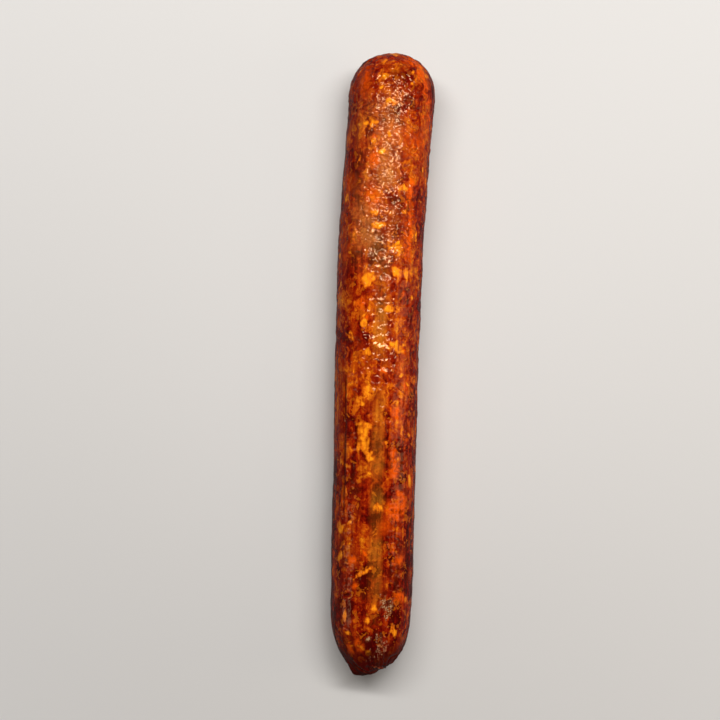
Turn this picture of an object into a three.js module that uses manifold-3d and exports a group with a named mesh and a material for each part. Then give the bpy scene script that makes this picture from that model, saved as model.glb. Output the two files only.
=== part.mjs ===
// A stick of cured sausage, lying on its side.
//
// Coarse minced meat and fat are packed into one thin casing, which dries on to them, so the stick is
// one solid piece. One end is a plain round dome. The other end is blunter and tilted to one side, and
// the casing is gathered over it into shallow pleats.
//
// Millimetres. +Y runs along the stick to its round end, +Z is up, and the origin is on the surface
// that the stick rests on, under the middle of its bounding box.

import * as THREE from "three";
import { mergeVertices } from "three/addons/utils/BufferGeometryUtils.js";
import Module from "manifold-3d";

const wasm = await Module();
wasm.setup();

// Driving dimensions.
const LENGTH = 298.5; // along the axis, from the middle of one end to the middle of the other
const ROUND_DIAMETER = 41.5; // across the stick where the round end begins
const GATHERED_DIAMETER = 39.5; // across the stick where the gathered end begins
const ROUND_CAP = 22; // length of the round end
const ROUND_BLUNTNESS = 2.2; // 2 makes the round end an ellipse, and more makes it blunter
const GATHERED_CAP = 36; // length of the gathered end
const GATHERED_BLUNTNESS = 2.6; // the same for the gathered end
const GATHERED_TILT = 30; // degrees that the face of the gathered end is turned towards +X
const FLAT_WIDTH = 12; // band along the underside that the stick's own weight has pressed flat
const BOW = 2.1; // how far the middle of the stick bends to -X
const SWAY = 0.6; // how much further the round half bends than the gathered half
const PLEATS = 9; // folds round the gathered end
const PLEAT_DEPTH = 0.8; // depth of a fold

// Fineness of the surface.
const SIDES = 48;
const BODY_STATIONS = 36;
const CAP_STATIONS = 10;

const ROUND_CAP_START = LENGTH / 2 - ROUND_CAP;
const GATHERED_CAP_START = -LENGTH / 2 + GATHERED_CAP;

const CASING = new THREE.MeshStandardMaterial({ color: 0x6e1a0a, roughness: 0.32, metalness: 0 });

// How far along the body a point is: 0 where the gathered end begins, 1 where the round end begins.
function alongBody(y) {
  const share = (y - GATHERED_CAP_START) / (ROUND_CAP_START - GATHERED_CAP_START);
  return THREE.MathUtils.clamp(share, 0, 1);
}

// How far into the gathered end a point is: 0 where it begins, 1 at its middle.
function intoGatheredEnd(y) {
  return THREE.MathUtils.clamp((GATHERED_CAP_START - y) / GATHERED_CAP, 0, 1);
}

// Radius of the body, which tapers evenly from the round end to the gathered end.
function bodyRadius(y) {
  return THREE.MathUtils.lerp(GATHERED_DIAMETER, ROUND_DIAMETER, alongBody(y)) / 2;
}

// Height of the axis, which leaves a flat of the stated width along the underside.
function axisHeight(y) {
  return Math.sqrt(bodyRadius(y) ** 2 - (FLAT_WIDTH / 2) ** 2);
}

// How far the rings of the gathered end are turned from square, which grows as the square of the way in.
function tilt(y) {
  return THREE.MathUtils.degToRad(GATHERED_TILT) * intoGatheredEnd(y) ** 2;
}

// The axis at a length y along it. Over the body it has one half wave for the bow and one full wave for
// the sway. Past that it follows the tilt, as the first terms of the series for a bending line.
function axis(y) {
  const turn = Math.PI * alongBody(y);
  const into = intoGatheredEnd(y);
  const fullTilt = THREE.MathUtils.degToRad(GATHERED_TILT);
  return {
    side: -BOW * Math.sin(turn) + SWAY * Math.sin(2 * turn) + (GATHERED_CAP * fullTilt * into ** 3) / 3,
    along: y + (GATHERED_CAP * fullTilt ** 2 * into ** 5) / 10,
  };
}

// Points on a quarter of a blunt ellipse, from its tip to its side. Each says how far along and how far
// out it is, as shares of the two half sizes.
function quarter(bluntness) {
  const points = [];
  for (let i = 0; i < CAP_STATIONS; i++) {
    const angle = (Math.PI / 2) * (i / CAP_STATIONS);
    points.push([Math.cos(angle) ** (2 / bluntness), Math.sin(angle) ** (2 / bluntness)]);
  }
  return points;
}

// Outline of the stick turned about a straight axis, from the gathered end to the round end.
function outline() {
  const points = [];
  for (const [along, out] of quarter(GATHERED_BLUNTNESS)) {
    const y = GATHERED_CAP_START - GATHERED_CAP * along;
    points.push(new THREE.Vector2(bodyRadius(y) * out, y));
  }
  for (let i = 0; i <= BODY_STATIONS; i++) {
    const y = THREE.MathUtils.lerp(GATHERED_CAP_START, ROUND_CAP_START, i / BODY_STATIONS);
    points.push(new THREE.Vector2(bodyRadius(y), y));
  }
  for (const [along, out] of quarter(ROUND_BLUNTNESS).reverse()) {
    const y = ROUND_CAP_START + ROUND_CAP * along;
    points.push(new THREE.Vector2(bodyRadius(y) * out, y));
  }
  return points;
}

// Moves each point of the straight, round stick to its place on the bowed, tilted and pleated one.
function bend(geometry) {
  const at = geometry.getAttribute("position");
  for (let i = 0; i < at.count; i++) {
    const y = at.getY(i);
    const valley = 0.5 - 0.5 * Math.cos(PLEATS * Math.atan2(at.getZ(i), at.getX(i)));
    const kept = 1 - (PLEAT_DEPTH / bodyRadius(y)) * valley * intoGatheredEnd(y) ** 2;
    const x = at.getX(i) * kept;
    const z = at.getZ(i) * kept;
    const { side, along } = axis(y);
    at.setXYZ(i, side + x * Math.cos(tilt(y)), along + x * Math.sin(tilt(y)), axisHeight(y) + z);
  }
  return geometry;
}

// A closed three.js geometry as a solid that can be cut.
function solidOf(geometry) {
  geometry.deleteAttribute("normal");
  geometry.deleteAttribute("uv");
  const merged = mergeVertices(geometry, 1e-4);
  const corners = merged.getIndex().array;
  const kept = [];
  for (let i = 0; i < corners.length; i += 3) {
    const [a, b, c] = corners.slice(i, i + 3);
    if (a !== b && b !== c && c !== a) kept.push(a, b, c);
  }
  const vertProperties = new Float32Array(merged.getAttribute("position").array);
  const triVerts = new Uint32Array(kept);
  return new wasm.Manifold(new wasm.Mesh({ numProp: 3, vertProperties, triVerts }));
}

// A solid as a three.js geometry.
function geometryOf(solid) {
  const mesh = solid.getMesh();
  const geometry = new THREE.BufferGeometry();
  geometry.setAttribute("position", new THREE.BufferAttribute(mesh.vertProperties, 3));
  geometry.setIndex(new THREE.BufferAttribute(mesh.triVerts, 1));
  geometry.computeVertexNormals();
  return geometry;
}

// What lies below the resting surface, which presses the underside flat.
function underSurface() {
  const reach = LENGTH * 2;
  return new THREE.BoxGeometry(reach, reach, reach).translate(0, 0, -reach / 2);
}

// The whole stick: casing and filling as one piece.
function sausage() {
  const bowed = bend(new THREE.LatheGeometry(outline(), SIDES));
  const geometry = geometryOf(solidOf(bowed).subtract(solidOf(underSurface())));
  geometry.computeBoundingBox();
  const middle = geometry.boundingBox.getCenter(new THREE.Vector3());
  geometry.translate(-middle.x, -middle.y, 0);
  const mesh = new THREE.Mesh(geometry, CASING);
  mesh.name = "sausage";
  return mesh;
}

const stick = new THREE.Group();
stick.add(sausage());

export default stick;
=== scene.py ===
"""A stick of cured sausage, lying on its side.

One glossy, wrinkled casing has dried on to coarse meat and fat, so the stick is one piece.
"""

import math

import bpy
import numpy as np
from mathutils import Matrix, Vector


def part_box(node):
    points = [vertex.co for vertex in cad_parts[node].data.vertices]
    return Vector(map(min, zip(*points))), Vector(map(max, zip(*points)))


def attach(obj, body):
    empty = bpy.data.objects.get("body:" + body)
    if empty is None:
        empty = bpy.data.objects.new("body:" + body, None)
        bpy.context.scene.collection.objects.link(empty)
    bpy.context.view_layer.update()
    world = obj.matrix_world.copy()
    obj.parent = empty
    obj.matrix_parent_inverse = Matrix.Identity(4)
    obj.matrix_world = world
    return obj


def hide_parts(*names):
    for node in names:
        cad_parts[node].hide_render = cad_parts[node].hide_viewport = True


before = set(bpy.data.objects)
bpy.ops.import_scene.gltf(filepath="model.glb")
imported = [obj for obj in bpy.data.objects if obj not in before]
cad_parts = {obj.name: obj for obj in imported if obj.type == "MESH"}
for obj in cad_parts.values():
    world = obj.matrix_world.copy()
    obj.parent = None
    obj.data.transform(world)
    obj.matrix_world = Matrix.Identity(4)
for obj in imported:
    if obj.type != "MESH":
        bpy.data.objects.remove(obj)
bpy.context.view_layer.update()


# ---- Camera ----
# It looks straight down on the stick, whose round end is at the top of the view. It stands a little
# to one side of the stick and is turned a little, so that the stick leans in the view.

mm = 0.001
LENS = 70 * mm
SENSOR = 36 * mm
VIEW_WIDTH = 348.5 * mm  # what the view takes in across the stick's middle
VIEW_TURN = math.radians(2.4)
VIEW_OFFSET = np.array([-9.1, 1.9]) * mm  # the view's middle from the stick's, along the view's own axes

low, high = (np.array(corner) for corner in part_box("sausage"))
middle = (low + high) / 2
cosine, sine = math.cos(VIEW_TURN), math.sin(VIEW_TURN)
across, up = middle[:2] + np.array([[cosine, -sine], [sine, cosine]]) @ VIEW_OFFSET

camera = bpy.data.objects.new("camera", bpy.data.cameras.new("camera"))
camera.data.lens = LENS / mm
camera.data.sensor_width = SENSOR / mm
camera.location = (across, up, middle[2] + VIEW_WIDTH * LENS / SENSOR)
camera.rotation_euler = (0, 0, VIEW_TURN)
bpy.context.scene.collection.objects.link(camera)
bpy.context.scene.camera = camera


# ---- The stick's shape ----
# Minced meat and fat stuffed into one casing and dried to a firm, slightly bowed stick. One end is a
# plain dome, the other is gathered over a blunt end tilted to one side, and the underside has lain flat.

LENGTH = 298.5 * mm  # along the axis
FLAT_WIDTH = 12 * mm  # band along the underside that the stick's own weight has pressed flat
ROUND_RADIUS = (high[2] ** 2 + (FLAT_WIDTH / 2) ** 2) / (2 * high[2])  # which leaves a flat that wide
GATHERED_RADIUS = ROUND_RADIUS - 1 * mm
ROUND_CAP = 22 * mm  # length of the round end
ROUND_BLUNTNESS = 2.2  # 2 makes the round end an ellipse, and more makes it blunter
GATHERED_CAP = 36 * mm  # length of the gathered end
GATHERED_BLUNTNESS = 2.6  # the same for the gathered end
GATHERED_TILT = math.radians(30)  # how far the face of the gathered end is turned towards +X
BOW = 2.1 * mm  # how far the middle of the stick bends to -X
SWAY = 0.6 * mm  # how much further the round half bends than the gathered half

GATHERED_ROWS = 76
BODY_ROWS = 380
ROUND_ROWS = 52
AROUND = 188
CROWDING = 0.3  # how much closer the points are at the top of the stick than at its side

round_start = LENGTH / 2 - ROUND_CAP
gathered_start = -LENGTH / 2 + GATHERED_CAP


def along_body(y):
    """How far along the body y is: 0 where the gathered end begins, 1 where the round end begins."""
    return np.clip((y - gathered_start) / (round_start - gathered_start), 0, 1)


def into_gathered_end(y):
    """How far into the gathered end y is: 0 where it begins, 1 at its middle."""
    return np.clip((gathered_start - y) / GATHERED_CAP, 0, 1)


def body_radius(y):
    """An even taper from the round end's radius to the gathered end's."""
    return GATHERED_RADIUS + (ROUND_RADIUS - GATHERED_RADIUS) * along_body(y)


def on_stick(y, turn, swell):
    """The point at a length y along the axis and an angle round it, at swell times the body's radius from
    it. Sideways the axis is half a wave for the bow and a whole wave for the sway. In the gathered end
    the rings tilt as the square of the way in, and the axis bends with them. The height of the axis
    leaves a flat of the stated width along the underside."""
    wave = np.pi * along_body(y)
    into = into_gathered_end(y)
    tilt = GATHERED_TILT * into**2
    side = -BOW * np.sin(wave) + SWAY * np.sin(2 * wave) + GATHERED_CAP * GATHERED_TILT * into**3 / 3
    along = y + GATHERED_CAP * GATHERED_TILT**2 * into**5 / 10
    height = np.sqrt(body_radius(y) ** 2 - (FLAT_WIDTH / 2) ** 2)
    across = body_radius(y) * swell * np.sin(turn)
    upright = body_radius(y) * swell * np.cos(turn)
    place = [side + across * np.cos(tilt), along + across * np.sin(tilt), height + upright]
    return np.stack(place, axis=-1)


def smooth_step(edge_off, edge_on, value):
    """0 at edge_off and 1 at edge_on, with a smooth rise between them. Either edge may be the lower."""
    share = np.clip((value - edge_off) / (edge_on - edge_off), 0, 1)
    return share * share * (3 - 2 * share)


# Each row is a ring round the stick, from the gathered end to the round end. An end's outline is a
# quarter of a blunt ellipse, and turn counts round from the top towards +X.
rise = np.linspace(0, np.pi / 2, GATHERED_ROWS + 1)[1:-1]
fall = np.linspace(np.pi / 2, 0, ROUND_ROWS + 1)[1:-1]
y = np.concatenate(
    [
        gathered_start - GATHERED_CAP * np.cos(rise) ** (2 / GATHERED_BLUNTNESS),
        np.linspace(gathered_start, round_start, BODY_ROWS),
        round_start + ROUND_CAP * np.cos(fall) ** (2 / ROUND_BLUNTNESS),
    ]
)[:, None]
swell = np.concatenate(
    [np.sin(rise) ** (2 / GATHERED_BLUNTNESS), np.ones(BODY_ROWS), np.sin(fall) ** (2 / ROUND_BLUNTNESS)]
)[:, None]
turn = np.linspace(-np.pi, np.pi, AROUND, endpoint=False)[None, :]
turn = turn - CROWDING * np.sin(turn)

smooth = on_stick(y, turn, swell)
poles = on_stick(np.array([-LENGTH / 2, LENGTH / 2]), np.zeros(2), np.zeros(2))
shift = (low + high - smooth.min(axis=(0, 1)) - smooth.max(axis=(0, 1))) / 2
shift[2] = 0
smooth += shift
poles += shift


# ---- Lumps, wrinkles and creases of the casing ----
# The casing has shrunk on to the coarse grind, so it stands out over each lump. It is wrinkled across
# and into curls where the filling has shrunk lengthwise, and drawn into long fine wrinkles elsewhere.

CORNERS = 4093  # how many random numbers the corners of the lattice share, a prime
CORNER_STEPS = (7919, 104729, 1299709)  # primes that pick a corner's number from its three counts


def wobble(amount, cell_mm, seed):
    """Smooth random value of up to amount either way over the stick. A random number at each corner of a
    lattice, with cells of that size in mm, is blended inside a cell by a smooth step in each direction."""
    numbers = np.random.default_rng(seed).uniform(-1, 1, CORNERS)
    place = smooth / (np.asarray(cell_mm) * mm)
    corner = np.floor(place).astype(np.int64)
    share = smooth_step(0, 1, place - corner)
    total = np.zeros(smooth.shape[:-1])
    for step in np.ndindex(2, 2, 2):
        key = ((corner + step) * CORNER_STEPS).sum(-1) % CORNERS
        total += numbers[key] * np.where(step, share, 1 - share).prod(-1)
    return amount * total


turn_deg = np.degrees(turn)
along_mm = smooth[..., 1] / mm
wander = [wobble(1, 1.6, seed=100 + number) for number in range(5)]
SMALLEST_RING = 0.2  # at the tips, a spot is measured as if on a ring of this share of the stick's radius


def spot(y_mm, at_deg, long_mm, wide_mm, slant_deg=0, ragged=0.35, number=0):
    """Distance from a spot's middle over its half-sizes, so 1 is its edge. Its edge wanders at random."""
    run = along_mm - y_mm
    off = np.radians((turn_deg - at_deg + 180) % 360 - 180)
    off = off * body_radius(y) * np.maximum(swell, SMALLEST_RING) / mm
    slant = math.radians(slant_deg)
    u = (run * math.cos(slant) + off * math.sin(slant)) / long_mm
    v = (off * math.cos(slant) - run * math.sin(slant)) / wide_mm
    return np.sqrt(u**2 + v**2) + ragged * wander[number % len(wander)]


# Where the casing is wrinkled: across and in curls on the round half, lengthwise on the gathered half.
patchy = wobble(1, 34, seed=3)
cross_wrinkled = smooth_step(-30, 40, along_mm) * smooth_step(-0.6, 0.2, patchy)
long_wrinkled = np.clip(1 - smooth_step(-20, 60, along_mm) * 0.7 + 0.3 * patchy, 0.2, 1)
into = into_gathered_end(y)

# All over the stick, in mm above the smooth shape. The curls are ridges that wind about.
lumps = wobble(0.36, 26, seed=11) + wobble(0.22, 11, seed=12)
curls = np.abs(wobble(0.34, 5.2, seed=13)) + np.abs(wobble(0.3, 2.6, seed=14))
curls = (0.15 - curls) * (0.6 + 0.7 * cross_wrinkled)
pebbles = wobble(0.11, 1.5, seed=19) * (0.4 + 0.6 * cross_wrinkled)
across_folds = wobble(0.26, (5, 1.6, 5), seed=15) * cross_wrinkled
long_folds = wobble(1, (1.7, 30, 1.7), seed=16) * (0.12 * long_wrinkled + 0.16 * into)

# Single marks, each 1 in its middle: a long crease down the -X side, a dimple beside the gathered end, and
# a crack across the top in two lengths.
CREASE_WIDTH = 0.7 * mm

crease_line = -46 + wobble(3, 14, seed=17)
in_crease = np.exp(-(((turn_deg - crease_line) * np.pi / 180 * body_radius(y) / CREASE_WIDTH) ** 2))
in_crease = in_crease * smooth_step(-78, -66, along_mm) * smooth_step(0, -12, along_mm)
dimple = smooth_step(1.2, 0.5, spot(-110, -37, 0.9, 2.4, slant_deg=-12, ragged=0.2))
crack = smooth_step(1, 0.2, spot(-11, -9, 0.6, 6, slant_deg=12, ragged=1.2, number=1))
crack += smooth_step(1, 0.2, spot(-14, -29, 0.5, 3.4, slant_deg=-8, ragged=1.2, number=2))

# Pleats run into the gathered end. On its face they turn into finer tucks round a puckered middle, and
# the casing is bunched into a lip on the face's -X side.
PLEATS = 9
PLEAT_DEPTH = 0.8  # mm
TUCKS = 27
TUCK_HEIGHT = 0.9  # mm
PUCKER_DEPTH = 1.5  # mm
PUCKER_SIZE = 0.16  # as a share of the stick's radius
LIP_HEIGHT = 2.2  # mm
LIP_INTO = 0.9  # how far into the gathered end the lip is
LIP_DEG = -92  # degrees round from the top

valley = 0.5 - 0.5 * np.cos(PLEATS * (turn + wobble(0.5, 12, seed=18)))
tucks = np.abs(np.sin(TUCKS / 2 * (turn + wobble(0.45, 9, seed=21) + 0.5))) ** 0.6 - 0.6
on_face = smooth_step(0.55, 0.95, into) * smooth_step(0.02, 0.3, swell)
gathers = -PLEAT_DEPTH * valley**0.7 * into**2 * smooth_step(0, 0.5, swell)
gathers += TUCK_HEIGHT * tucks * on_face
gathers -= PUCKER_DEPTH * np.exp(-((swell / PUCKER_SIZE) ** 2)) * into
lip = LIP_HEIGHT * np.exp(-(((into - LIP_INTO) / 0.07) ** 2) - ((turn_deg - LIP_DEG) / 40) ** 2)

# Near that end two short ridges run along the top, a tuck runs across it, and a scrap of crust has
# dried on.
ridges = smooth_step(1, 0.4, spot(-129.5, 8, 4, 0.8, ragged=0.2))
ridges += smooth_step(1, 0.4, spot(-130, 14, 3.6, 0.8, ragged=0.2))
tuck = smooth_step(1, 0.2, spot(-145, -1, 0.7, 4.5, slant_deg=14, ragged=0.2))
dried = smooth_step(1.2, 0.7, spot(-114, 21, 6.6, 2.6, slant_deg=-30, ragged=0.9, number=3))
crust = dried * np.abs(wobble(0.4, 1.4, seed=20))

# The relief is what all of them add up to, in mm.
relief = lumps + curls + pebbles + across_folds + long_folds + gathers + lip + crust
relief += 0.4 * ridges + 0.5 * tuck - 0.45 * in_crease - 0.6 * dimple - 0.25 * crack

# Each point moves out of the smooth shape by its relief, and none goes below the resting surface.
run_along = np.gradient(smooth, axis=0)
run_round = np.roll(smooth, -1, axis=1) - np.roll(smooth, 1, axis=1)
outward = np.cross(run_round, run_along)
outward /= np.linalg.norm(outward, axis=-1, keepdims=True)
skin = smooth + outward * (relief * mm)[..., None]
skin[..., 2] = np.maximum(skin[..., 2], 0)


# ---- Fat and paprika under the casing ----
# Pieces of fat, stained amber by the paprika oil, and scarlet pieces of paprika-red meat lie against
# the casing. The large ones are placed one by one and the small ones are scattered.

# Each is (mm along the stick, degrees round from the top, half length, half width, slant in degrees).
AMBER = (
    (135, -9, 1.3, 1.3, 0),
    (130, -15, 0.9, 1.4, 0),
    (123, 1, 2.0, 2.6, 20),
    (113, -26, 2.6, 3.2, 0),
    (105, -20, 1.3, 1.6, 0),
    (108, 0, 1.4, 1.0, 0),
    (100, -8, 1.2, 1.9, 0),
    (95, -42, 2.9, 0.9, 20),
    (101, 45, 2.6, 1.3, 0),
    (83, 22, 2.3, 3.1, 0),
    (79, -61, 2.6, 1.7, 0),
    (71, -10, 1.7, 4.0, 10),
    (65, -7, 1.9, 2.9, 0),
    (55, 20, 4.6, 3.2, -15),
    (45, 19, 2.8, 2.2, 0),
    (44, 38, 4.8, 1.4, 0),
    (40, -17, 3.8, 2.8, 15),
    (26, 15, 1.9, 4.6, 10),
    (19, -19, 1.9, 2.0, 0),
    (8, 26, 2.9, 4.4, 0),
    (-18, -23, 2.6, 2.6, 0),
    (-29, -12, 1.9, 3.9, 20),
    (-32, -19, 3.4, 2.8, 0),
    (-37, -15, 4.0, 2.8, 0),
    (-43, -10, 3.6, 2.2, -20),
    (-40, -24, 4.4, 1.2, 0),
    (-19, 27, 1.9, 2.2, 0),
    (-33, 51, 1.8, 1.0, 0),
    (-49, -43, 1.2, 2.1, 10),
    (-55, 56, 3.0, 1.3, 0),
    (-68, 6, 2.4, 1.9, 0),
    (-79, -53, 2.9, 2.8, 0),
    (-92, -51, 3.4, 1.7, 10),
    (-98, -11, 5.6, 1.3, 58),
    (-115, 5, 2.8, 1.3, 0),
    (-121, -6, 1.5, 1.0, 0),
    (-120, -40, 2.6, 1.1, 10),
    (-128, -36, 1.0, 1.6, 0),
    (-112, 57, 2.0, 1.5, 0),
    (-126, 34, 2.4, 1.5, -20),
    (-137, -9, 1.8, 1.5, 0),
    (148, 4, 1.6, 2.6, 0),
)
SCARLET = (
    (145, 42, 3.0, 4.4, 0),
    (139, 45, 3.4, 2.4, 0),
    (131, 49, 4.0, 1.6, 0),
    (96, -19, 3.8, 2.4, 0),
    (82, 36, 6.0, 1.8, 0),
    (62, 37, 12.0, 2.1, 0),
    (28, -26, 2.2, 2.1, 0),
    (-22, 28, 4.6, 3.4, 0),
    (-42, 25, 2.4, 2.6, 0),
    (-49, 29, 4.4, 3.2, 0),
    (-69, 30, 3.8, 3.4, 0),
    (-67, 44, 4.0, 2.0, 0),
    (-93, -28, 2.0, 2.7, 0),
    (-93, 37, 2.2, 3.0, 0),
    (-110, 42, 2.6, 3.0, 0),
    (-133, -20, 2.8, 2.0, 0),
)
SCATTERED = 180  # small pieces, half of them fat and half of them paprika-red meat


def marks(places):
    """The strongest of the spots at each point: 1 inside a spot, falling to 0 over its soft edge."""
    found = np.zeros_like(turn + y)
    for number, (y_mm, at_deg, long_mm, wide_mm, slant) in enumerate(places):
        distance = spot(y_mm, at_deg, long_mm, wide_mm, slant, ragged=0.7, number=number)
        found = np.maximum(found, smooth_step(1.6, 0.4, distance))
    return found


draw = np.random.default_rng(7)
scattered = [
    (
        draw.uniform(-146, 148),
        draw.uniform(-180, 180),
        draw.uniform(0.5, 2.4),
        draw.uniform(0.5, 1.7),
        draw.uniform(-60, 60),
    )
    for _ in range(SCATTERED)
]
fat = marks(AMBER + tuple(scattered[: SCATTERED // 2]))
paprika = marks(SCARLET + tuple(scattered[SCATTERED // 2 :]))

# A tan bloom along the top of the round half and an olive one down the rest are partly dried bloom and
# partly painted sheen, where the lights' reflection runs along the top.
sheen_patches = 0.7 + wobble(0.8, 8, seed=31)
tan_bloom_and_sheen = smooth_step(44, 8, np.abs(turn_deg + 12)) * smooth_step(36, 62, along_mm)
tan_bloom_and_sheen = np.clip(tan_bloom_and_sheen * smooth_step(134, 120, along_mm) * sheen_patches, 0, 1)
olive_bloom_and_sheen = smooth_step(13, 3, np.abs(turn_deg - 3)) * smooth_step(50, 20, along_mm)
olive_bloom_and_sheen = np.clip(olive_bloom_and_sheen * smooth_step(-128, -90, along_mm) * sheen_patches, 0, 1)

# The crust has dried dusty, and its palest specks are painted glints. The ridges and the tuck are painted
# pale as highlights along their edges, and a streak beside them is pale too.
streak = smooth_step(1.1, 0.4, spot(-130, -5, 1.2, 2.4, slant_deg=-35))
dust_and_highlights = np.clip(dried + 0.8 * ridges + 0.8 * tuck + streak, 0, 1)

# Painted shade darkens the crease, the dimple, a hollow near the gathered end and the -X side, which faces
# away from the lights. The gathered end and a patch near the round end are darker too.
hollow = smooth_step(1.3, 0.5, spot(-140, 8, 4, 6))
dark_patch_and_side_shade = 0.5 * smooth_step(1.3, 0.3, spot(136, 8, 6, 6, number=2))
# Painted shade down the -X side, away from the lights.
dark_patch_and_side_shade += 0.35 * smooth_step(-38, -50, turn_deg + 4 * patchy) * smooth_step(-150, -110, turn_deg)
painted_shade_and_dark = dark_patch_and_side_shade + 0.9 * in_crease + dimple + 0.8 * hollow + 0.95 * smooth_step(0.4, 0.82, into)
painted_shade_and_dark = np.clip(painted_shade_and_dark, 0, 1) * (1 - dust_and_highlights)


# ---- The stick's mesh ----
# The casing is one closed skin, stuck to its filling all over, so one surface stands for both. Each ring
# of points joins the next, and a fan of triangles closes each tip.

MAP_MARGIN = 0.002  # of the map's height, kept for each tip's fan

rows, columns = skin.shape[:2]
pole_outward = np.array([[math.sin(GATHERED_TILT), -math.cos(GATHERED_TILT), 0], [0, 1, 0]])
pole_relief = np.array([[relief[0].mean()], [relief[-1].mean()]]) * mm
vertices = np.concatenate([skin.reshape(-1, 3), poles + pole_outward * pole_relief])
near_pole = np.full(columns, len(vertices) - 2)
far_pole = np.full(columns, len(vertices) - 1)

row, column = np.meshgrid(np.arange(rows - 1), np.arange(columns), indexing="ij")
beside = (column + 1) % columns
near, far = row * columns, (row + 1) * columns
quads = np.stack([near + column, near + beside, far + beside, far + column], axis=-1).reshape(-1, 4)
first = np.arange(columns)
second = (first + 1) % columns
last = (rows - 1) * columns
near_fan = np.stack([second, first, near_pole], axis=-1)
far_fan = np.stack([last + first, last + second, far_pole], axis=-1)

mesh = bpy.data.meshes.new("cured_stick")
mesh.from_pydata(vertices, [], quads.tolist() + near_fan.tolist() + far_fan.tolist())
mesh.polygons.foreach_set("use_smooth", np.ones(len(mesh.polygons), dtype=bool))

# Among these, the blooms carry painted sheen, the dust painted highlights and glints, and the shade painted
# shade.
masks = {
    "fat": fat,
    "paprika": paprika,
    "tan_bloom_and_sheen": tan_bloom_and_sheen,
    "olive_bloom_and_sheen": olive_bloom_and_sheen,
    "dust_and_highlights": dust_and_highlights,
    "painted_shade_and_dark": painted_shade_and_dark,
    "wrinkle": cross_wrinkled,
}
for name, values in masks.items():
    flat = np.concatenate([values.ravel(), [values[0].mean(), values[-1].mean()]])
    mesh.attributes.new(name, "FLOAT", "POINT").data.foreach_set("value", flat)

# The skin is slit along the underside and laid flat: round the stick across the map, along it up the map.
steps = np.linalg.norm(np.diff(smooth[:, columns // 2], axis=0), axis=1)
height = np.concatenate([[0], np.cumsum(steps)])
height = (height / height[-1] + MAP_MARGIN) / (1 + 2 * MAP_MARGIN)
u0, u1 = column / columns, (column + 1) / columns
v0, v1 = height[row], height[row + 1]
quad_map = np.stack([u0, v0, u1, v0, u1, v1, u0, v1], axis=-1)
left, right = first / columns, (first + 1) / columns
centre = (left + right) / 2
foot, near_edge, far_edge, head = (np.full(columns, at) for at in (0, height[0], height[-1], 1))
near_map = np.stack([right, near_edge, left, near_edge, centre, foot], axis=-1)
far_map = np.stack([left, far_edge, right, far_edge, centre, head], axis=-1)
corner_map = np.concatenate([part.reshape(-1) for part in (quad_map, near_map, far_map)])
mesh.uv_layers.new(name="OFBake").data.foreach_set("uv", corner_map)
mesh.validate()
mesh.update()

stick = bpy.data.objects.new("cured_stick", mesh)
bpy.context.scene.collection.objects.link(stick)


# ---- The casing's material ----
# A glossy, translucent casing over dark cured meat. The grind shows through it as grains of russet,
# scarlet and amber, with fine threads along the stick.

SCENE_LINEAR = {
    "clot": (0.055, 0.0005, 0.0002, 1),
    "burgundy": (0.115, 0.0018, 0.0003, 1),
    "oxblood": (0.215, 0.0065, 0.0005, 1),
    "brick": (0.34, 0.023, 0.001, 1),
    "russet": (0.50, 0.070, 0.002, 1),
    "orange": (0.74, 0.165, 0.005, 1),
    "amber": (1.0, 0.32, 0.008, 1),
    "scarlet": (0.84, 0.095, 0.001, 1),
    "tan": (0.46, 0.165, 0.035, 1),
    "olive_bloom_and_sheen": (0.52, 0.17, 0.012, 1),
    "umber": (0.16, 0.018, 0.002, 1),
    "dust": (0.30, 0.14, 0.05, 1),
    "chalk_glint": (0.62, 0.42, 0.24, 1),
}


def node(tree, kind, wires=(), **settings):
    """A new node. wires gives sockets their values, and a value that is another node's socket is linked."""
    made = tree.nodes.new(kind)
    for name, value in settings.items():
        setattr(made, name, value)
    for socket, value in dict(wires).items():
        if isinstance(value, bpy.types.NodeSocket):
            tree.links.new(value, made.inputs[socket])
        else:
            made.inputs[socket].default_value = value
    return made


def calc(tree, operation, *values):
    """The result of a Math node."""
    return node(tree, "ShaderNodeMath", dict(enumerate(values)), operation=operation).outputs[0]


def calc_vector(tree, operation, *values):
    """The result of a Vector Math node."""
    return node(tree, "ShaderNodeVectorMath", dict(enumerate(values)), operation=operation).outputs[0]


def mix(tree, share, below, above):
    """One colour laid over another, from a share of 0 for the lower to 1 for the upper."""
    return node(tree, "ShaderNodeMix", {0: share, 6: below, 7: above}, data_type="RGBA").outputs[2]


def remap(tree, value, from_low, from_high, to_low=0.0, to_high=1.0):
    """A value carried smoothly from one range to another, and kept inside it."""
    wires = {0: value, 1: from_low, 2: from_high, 3: to_low, 4: to_high}
    return node(tree, "ShaderNodeMapRange", wires, interpolation_type="SMOOTHSTEP").outputs[0]


def ramp(tree, value, stops):
    """Colours from a table of places and names."""
    made = node(tree, "ShaderNodeValToRGB", {0: value})
    elements = made.color_ramp.elements
    while len(elements) < len(stops):
        elements.new(1)
    for element, (place, name) in zip(elements, stops):
        element.position = place
        element.color = SCENE_LINEAR[name]
    return made.outputs[0]


def noise(tree, where, scale, detail, rough=0.5):
    """The value of a noise, 0 to 1 about 0.5. Its scale is in lumps per metre."""
    wires = {"Vector": where, "Scale": scale, "Detail": detail, "Roughness": rough}
    return node(tree, "ShaderNodeTexNoise", wires).outputs[0]


def stretched(tree, where, x, y, z):
    """The place, scaled along each axis."""
    return node(tree, "ShaderNodeMapping", {"Vector": where, "Scale": (x, y, z)}).outputs[0]


def attribute(tree, name):
    """A number that the mesh carries at each of its points."""
    return node(tree, "ShaderNodeAttribute", attribute_name=name).outputs["Fac"]


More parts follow.
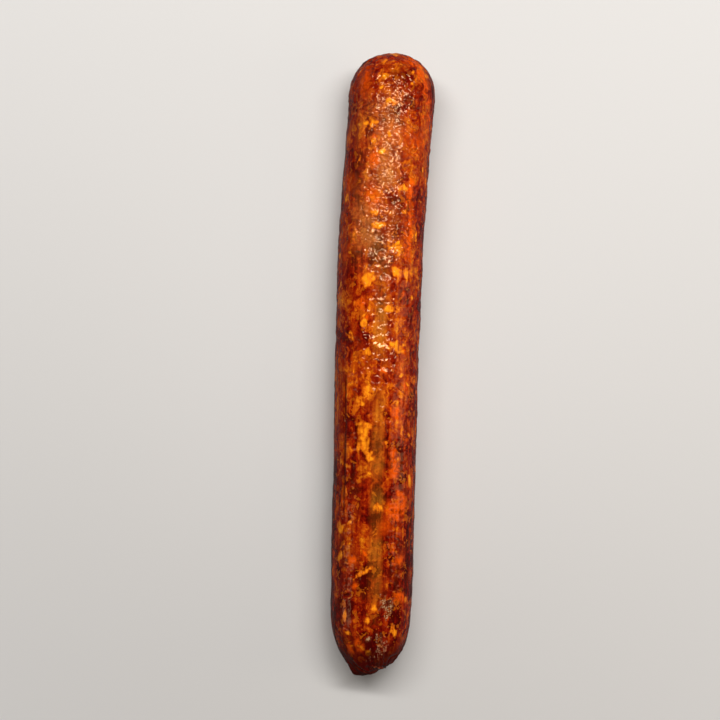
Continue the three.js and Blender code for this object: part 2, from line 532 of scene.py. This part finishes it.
def grind_group():
    """Grains of a coarse mince. Pick is a random number for each grain, and Seam is 1 between grains."""
    tree = bpy.data.node_groups.new("grind", "ShaderNodeTree")
    tree.interface.new_socket("Vector", in_out="INPUT", socket_type="NodeSocketVector")
    tree.interface.new_socket("Grains per metre", in_out="INPUT", socket_type="NodeSocketFloat")
    tree.interface.new_socket("Pick", in_out="OUTPUT", socket_type="NodeSocketFloat")
    tree.interface.new_socket("Seam", in_out="OUTPUT", socket_type="NodeSocketFloat")
    given = node(tree, "NodeGroupInput").outputs
    cells = {"Vector": given["Vector"], "Scale": given["Grains per metre"]}
    grains = node(tree, "ShaderNodeTexVoronoi", cells)
    seams = node(tree, "ShaderNodeTexVoronoi", cells, feature="DISTANCE_TO_EDGE")
    pick = node(tree, "ShaderNodeSeparateColor", {0: grains.outputs["Color"]}).outputs[0]
    seam = remap(tree, seams.outputs[0], 0.0, 0.12, 1.0, 0.0)
    node(tree, "NodeGroupOutput", {"Pick": pick, "Seam": seam})
    return tree


def swing(tree, value, amount):
    """A noise turned into a push up or down about nothing."""
    return calc(tree, "MULTIPLY", calc(tree, "SUBTRACT", value, 0.5), amount)


COARSE_GRAINS = 190.0  # per metre
FINE_GRAINS = 560.0
PULL = 12 * mm  # how far the grind is pulled out of shape
WRINKLE_HEIGHT = 0.9 * mm


def casing_material():
    """Meat whose tone is the sum of its grains, threads and slow drifts, with the mesh's marks laid over
    it, under one glossy surface that carries the fine wrinkles."""
    material = bpy.data.materials.new("casing_over_cured_meat")
    material.use_nodes = True
    tree = material.node_tree
    tree.nodes.clear()
    place = node(tree, "ShaderNodeTexCoord").outputs["Object"]

    # The grind, pulled out of shape and a little longer along the stick than across.
    warp = node(tree, "ShaderNodeTexNoise", {"Vector": place, "Scale": 230.0, "Detail": 3.0})
    moved = calc_vector(tree, "SUBTRACT", warp.outputs["Color"], (0.5, 0.5, 0.5))
    moved = calc_vector(tree, "MULTIPLY", moved, (PULL, PULL, PULL))
    warped = stretched(tree, calc_vector(tree, "ADD", place, moved), 1, 0.72, 1)
    grind = grind_group()
    coarse = node(tree, "ShaderNodeGroup", node_tree=grind)
    fine = node(tree, "ShaderNodeGroup", node_tree=grind)
    for grains, scale in ((coarse, COARSE_GRAINS), (fine, FINE_GRAINS)):
        tree.links.new(warped, grains.inputs["Vector"])
        grains.inputs["Grains per metre"].default_value = scale

    # Light and dark meat, darker towards the gathered end.
    threads = noise(tree, stretched(tree, place, 1, 0.06, 1), 620.0, 3.0, 0.6)
    mottle = noise(tree, stretched(tree, warped, 1, 0.6, 1), 250.0, 5.0, 0.6)
    drift = noise(tree, stretched(tree, place, 1, 0.5, 1), 95.0, 2.0)
    hue = noise(tree, stretched(tree, place, 1, 0.6, 1), 68.0, 2.0)
    along = node(tree, "ShaderNodeSeparateXYZ", {0: place}).outputs[1]
    tone = remap(tree, along, -120 * mm, 20 * mm, 0.28, 0.46)
    drawn = remap(tree, attribute(tree, "wrinkle"), 0.0, 1.0, 0.95, 0.4)
    for value, amount in ((coarse.outputs["Pick"], 0.3), (mottle, 1.7), (drift, 1.2), (threads, drawn)):
        tone = calc(tree, "ADD", tone, swing(tree, value, amount))
    meat = ramp(
        tree,
        tone,
        (
            (0.05, "clot"),
            (0.2, "burgundy"),
            (0.34, "oxblood"),
            (0.5, "brick"),
            (0.66, "russet"),
            (0.84, "orange"),
            (1.0, "amber"),
        ),
    )
    meat = mix(tree, remap(tree, hue, 0.45, 0.3, 0.0, 0.4), meat, SCENE_LINEAR["umber"])
    meat = mix(tree, remap(tree, hue, 0.55, 0.72, 0.0, 0.4), meat, SCENE_LINEAR["scarlet"])
    speck = remap(tree, fine.outputs["Pick"], 0.84, 0.95)
    meat = mix(tree, calc(tree, "MULTIPLY", speck, 0.45), meat, SCENE_LINEAR["orange"])
    seam = calc(tree, "MULTIPLY", coarse.outputs["Seam"], 0.3)
    meat = mix(tree, seam, meat, SCENE_LINEAR["burgundy"])

    # What the mesh's marks lay over it, painted sheen, highlights and shade among them. A piece of fat is
    # palest in its middle, and all but the shade are broken up by the grain of the meat.
    texture = calc(tree, "ADD", mottle, swing(tree, threads, 0.6))
    hazy = remap(tree, texture, 0.34, 0.58, 0.4, 1.0)
    broken = remap(tree, texture, 0.33, 0.58, 0.2, 1.0)
    fat_depth = calc(tree, "MULTIPLY", attribute(tree, "fat"), remap(tree, texture, 0.28, 0.7, 0.3, 1.2))
    fat_tone = ramp(tree, fat_depth, ((0.2, "brick"), (0.55, "orange"), (1.0, "amber")))
    # The palest specks of the dust are painted glints.
    powder = noise(tree, place, 1300.0, 1.0)
    flakes_and_glints = ramp(tree, powder, ((0.44, "umber"), (0.54, "dust"), (0.7, "chalk_glint")))
    for name, cover, share, colour in (
        ("paprika", broken, 0.85, SCENE_LINEAR["scarlet"]),
        ("olive_bloom_and_sheen", hazy, 0.6, SCENE_LINEAR["olive_bloom_and_sheen"]),
        ("tan_bloom_and_sheen", hazy, 0.6, SCENE_LINEAR["tan"]),
        ("fat", remap(tree, fat_depth, 0.05, 0.5), 1.0, fat_tone),
        ("dust_and_highlights", broken, 0.85, flakes_and_glints),
        ("painted_shade_and_dark", 1.0, 0.93, SCENE_LINEAR["clot"]),
    ):
        covered = calc(tree, "MULTIPLY", attribute(tree, name), cover)
        meat = mix(tree, calc(tree, "MULTIPLY", covered, share), meat, colour)

    # Fine wrinkles, bent by a quarter of the grind's pull: curling ones where the casing is puckered, and
    # long threads. The bottoms of the curling ones are darkened with painted shade.
    bent = calc_vector(tree, "ADD", place, calc_vector(tree, "MULTIPLY", moved, (0.25, 0.25, 0.25)))
    curling = calc(tree, "ABSOLUTE", swing(tree, noise(tree, bent, 270.0, 1.0), 2.0))
    puckered = remap(tree, attribute(tree, "wrinkle"), 0.0, 1.0, 0.25, 1.0)
    painted_groove_shade = calc(tree, "MULTIPLY", remap(tree, curling, 0.12, 0.0, 0.0, 0.4), puckered)
    meat = mix(tree, painted_groove_shade, meat, SCENE_LINEAR["burgundy"])
    strands = noise(tree, stretched(tree, bent, 1, 0.08, 1), 560.0, 0.5)
    bumps = calc(tree, "MULTIPLY", curling, puckered)
    bumps = calc(tree, "ADD", bumps, calc(tree, "MULTIPLY", strands, 0.3))
    bump = node(tree, "ShaderNodeBump", {"Height": bumps, "Strength": 1.0, "Distance": WRINKLE_HEIGHT})

    shader = node(
        tree,
        "ShaderNodeBsdfPrincipled",
        {
            "Base Color": meat,
            "Roughness": remap(tree, noise(tree, place, 160.0, 3.0), 0.35, 0.7, 0.09, 0.16),
            "Normal": bump.outputs[0],
            "IOR": 1.46,
            "Specular IOR Level": 0.52,
            "Specular Tint": (1.0, 0.7, 0.42, 1),
        },
    )
    node(tree, "ShaderNodeOutputMaterial", {"Surface": shader.outputs[0]})
    return material


mesh.materials.append(casing_material())
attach(stick, "root")
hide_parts("sausage")


# ---- Floor and light ----
# A plain pale floor. Soft lights stand high past the round end and low to each side, and a weak one
# stands past the gathered end.

FLOOR_SIZE = 40.0
FLOOR_PALE = (0.6, 0.6, 0.61, 1)
FLOOR_IN_GLOSS = (0.08, 0.075, 0.08, 1)
BACKDROP = (0.66, 0.665, 0.67, 1)
GLOW_FROM, GLOW_FULL = 0.1, 1.0  # metres from the stick

floor_mesh = bpy.data.meshes.new("floor")
half = FLOOR_SIZE / 2
corners = [(-half, -half, 0), (half, -half, 0), (half, half, 0), (-half, half, 0)]
floor_mesh.from_pydata(corners, [], [(0, 1, 2, 3)])
floor = bpy.data.objects.new("floor", floor_mesh)
bpy.context.scene.collection.objects.link(floor)

# Where the floor runs out of the lamps' reach it glows faintly, so that it stays pale to the horizon. The
# stick's gloss sees it darker, as it would with a dark card on each side of the stick.
paint = bpy.data.materials.new("pale_floor")
paint.use_nodes = True
tree = paint.node_tree
surface = tree.nodes["Principled BSDF"]
surface.inputs["Roughness"].default_value = 0.8
surface.inputs["Emission Color"].default_value = BACKDROP
ray = node(tree, "ShaderNodeLightPath").outputs
ground = node(tree, "ShaderNodeTexCoord").outputs["Object"]
away = node(tree, "ShaderNodeVectorMath", {0: ground}, operation="LENGTH").outputs["Value"]
glow = calc(tree, "MULTIPLY", ray["Is Camera Ray"], remap(tree, away, GLOW_FROM, GLOW_FULL))
tree.links.new(mix(tree, ray["Is Glossy Ray"], FLOOR_PALE, FLOOR_IN_GLOSS), surface.inputs["Base Color"])
tree.links.new(glow, surface.inputs["Emission Strength"])
floor_mesh.materials.append(paint)


def soft_light(name, place, target, size, power, colour):
    """A rectangular area light at place, turned to face target. Its two sides are in metres, and its power
    in watts."""
    lamp = bpy.data.lights.new(name, "AREA")
    lamp.shape = "RECTANGLE"
    lamp.size, lamp.size_y = size
    lamp.energy = power
    lamp.color = colour
    held = bpy.data.objects.new(name, lamp)
    held.location = place
    aim = np.array(target) - np.array(place)
    held.rotation_euler = (math.acos(-aim[2] / np.linalg.norm(aim)), 0, math.atan2(-aim[0], aim[1]))
    bpy.context.scene.collection.objects.link(held)


# Each has where it stands, what it faces, its two sides, its power and its colour.
soft_light("overhead", (0.12, 0.25, 0.7), (0, 0.05, 0.02), (0.2, 0.2), 0.85, (1.0, 0.97, 0.92))
soft_light("strip", (0.02, 0.26, 0.72), (0, 0.05, 0.02), (0.9, 0.08), 7.15, (1.0, 0.96, 0.9))
soft_light("right", (0.8, 0.0, 0.35), (0, 0, 0.02), (0.3, 0.6), 0.75, (1.0, 0.84, 0.66))
soft_light("left", (-0.8, -0.3, 0.3), (0, 0, 0.02), (0.12, 0.3), 0.25, (1.0, 0.84, 0.68))
soft_light("gathered_end", (0.3, -0.6, 0.35), (0, -0.13, 0.02), (0.3, 0.06), 0.34, (1.0, 0.82, 0.64))

# The world lights the stick faintly, and shows behind it as a pale backdrop.
WORLD_LIGHT = 0.07

world = bpy.data.worlds.new("studio")
world.use_nodes = True
tree = world.node_tree
sky = tree.nodes["Background"]
sky.inputs["Color"].default_value = BACKDROP
seen = node(tree, "ShaderNodeLightPath").outputs["Is Camera Ray"]
strength = node(tree, "ShaderNodeMapRange", {"Value": seen, "To Min": WORLD_LIGHT, "To Max": 1.0})
tree.links.new(strength.outputs[0], sky.inputs["Strength"])
bpy.context.scene.world = world
bpy.context.scene.view_settings.view_transform = "Standard"
